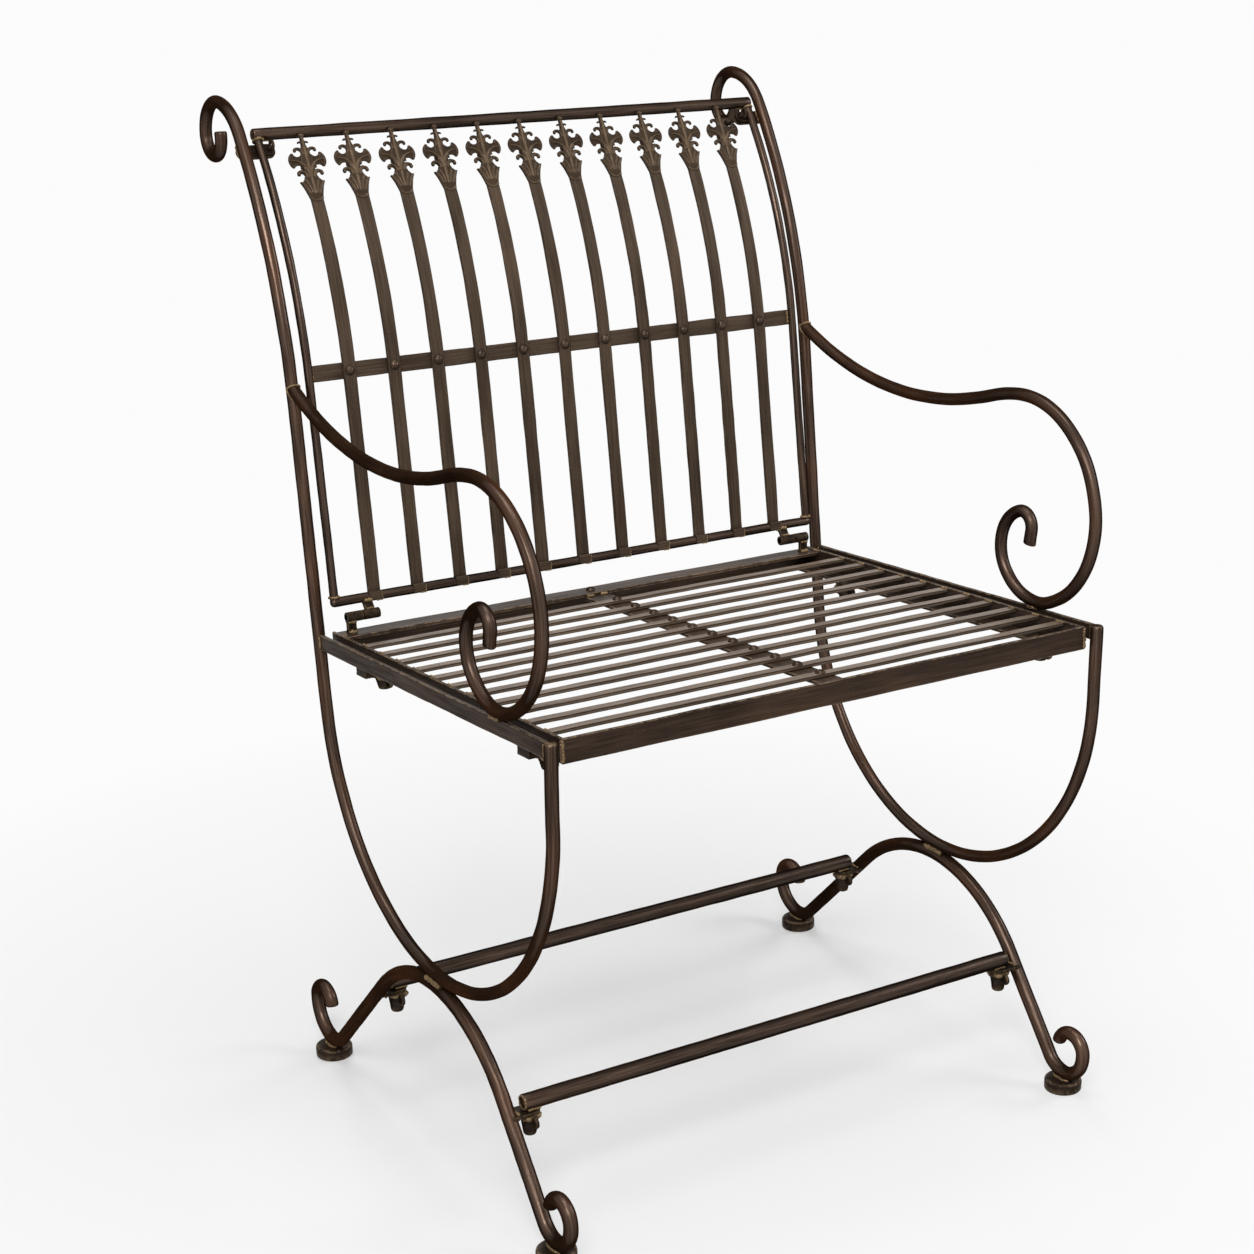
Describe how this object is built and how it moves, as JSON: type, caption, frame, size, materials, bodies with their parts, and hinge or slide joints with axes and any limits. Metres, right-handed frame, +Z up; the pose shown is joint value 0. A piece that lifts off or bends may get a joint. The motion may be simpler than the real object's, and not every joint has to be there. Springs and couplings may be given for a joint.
{
  "type": "iron armchair",
  "caption": "Wrought iron armchair with round-bar side frames, scrolled posts, curled arms, a slatted seat and a slatted back with leaf finials that folds forward.",
  "frame": {"origin": "on the floor, under the centre of the chair's bounding box", "axes": "+Z up, the chair faces -Y, +X to the right in the picture (the sitter's left)"},
  "size_m": [0.564, 0.6193, 0.8661],
  "materials": {
    "round_bar": "satin antique bronze paint",
    "flat_bar": "satin antique bronze paint, worn edges",
    "seat_slat": "satin antique bronze paint",
    "back_slat": "satin antique bronze paint",
    "lug": "satin antique bronze paint",
    "fastener": "dark bronze paint",
    "rivet": "satin antique bronze paint",
    "cast_leaf": "painted casting, dark in the recesses",
    "foot": "painted, scuffed"
  },
  "bodies": {
    "frame": {"right_back_post": "round_bar", "left_back_post": "round_bar", "right_leg_arch": "round_bar", "left_leg_arch": "round_bar", "right_armrest": "round_bar", "left_armrest": "round_bar", "front_stretcher": "round_bar", "rear_stretcher": "round_bar", "right_side_rail": "flat_bar", "left_side_rail": "flat_bar", "seat_front_rail": "flat_bar", "seat_rear_rail": "flat_bar", "seat_right_bar": "flat_bar", "seat_left_bar": "flat_bar", "seat_ledges": "flat_bar", "seat_strap": "flat_bar", "seat_slat_01": "seat_slat", "seat_slat_02": "seat_slat", "seat_slat_03": "seat_slat", "seat_slat_04": "seat_slat", "seat_slat_05": "seat_slat", "seat_slat_06": "seat_slat", "seat_slat_07": "seat_slat", "seat_slat_08": "seat_slat", "seat_slat_09": "seat_slat", "seat_slat_10": "seat_slat", "seat_slat_11": "seat_slat", "stretcher_lugs": "lug", "seat_lugs": "lug", "back_tabs": "lug", "hinge_seat_knuckles": "lug", "bolts": "fastener", "wing_nuts": "fastener", "hinge_pins": "fastener", "seat_rivets": "rivet", "feet": "foot"},
    "back_panel": {"back_top_rail": "round_bar", "back_bottom_rail": "round_bar", "back_right_rod": "round_bar", "back_left_rod": "round_bar", "back_strap": "flat_bar", "back_rivets": "rivet", "back_finials": "cast_leaf", "hinge_back_knuckles": "lug", "back_ears": "lug", "back_ring_screws": "fastener", "back_slat_01": "back_slat", "back_slat_02": "back_slat", "back_slat_03": "back_slat", "back_slat_04": "back_slat", "back_slat_05": "back_slat", "back_slat_06": "back_slat", "back_slat_07": "back_slat", "back_slat_08": "back_slat", "back_slat_09": "back_slat", "back_slat_10": "back_slat", "back_slat_11": "back_slat"}
  },
  "joints": [
    {"name": "back_fold", "type": "hinge", "parent": "frame", "child": "back_panel", "pos_m": [0, 0.11084, 0.4354], "axis": [1, 0, 0], "range_deg": [0, 98]}
  ]
}
